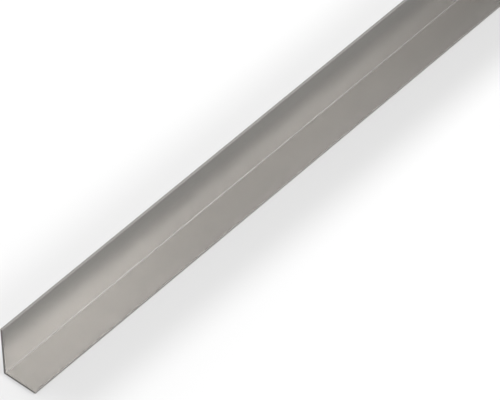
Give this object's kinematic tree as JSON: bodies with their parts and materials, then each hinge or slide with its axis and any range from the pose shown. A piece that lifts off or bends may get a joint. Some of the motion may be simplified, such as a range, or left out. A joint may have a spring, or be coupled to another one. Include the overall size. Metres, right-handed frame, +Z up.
{
  "type": "unequal aluminium angle section",
  "caption": "Straight length of thin extruded aluminium angle with one tall and one short leg, a small root fillet, softened edges and square sawn ends.",
  "frame": {"origin": "centre of the underside of the short leg, on the floor it lies on", "axes": "+Y along the length, +Z up along the tall leg, +X across the short leg from the heel to its toe"},
  "size_m": [0.0234, 1, 0.0355],
  "materials": {
    "anodised_aluminium": "satin"
  },
  "bodies": {
    "root": {"angle_section": "anodised_aluminium"}
  },
  "joints": []
}
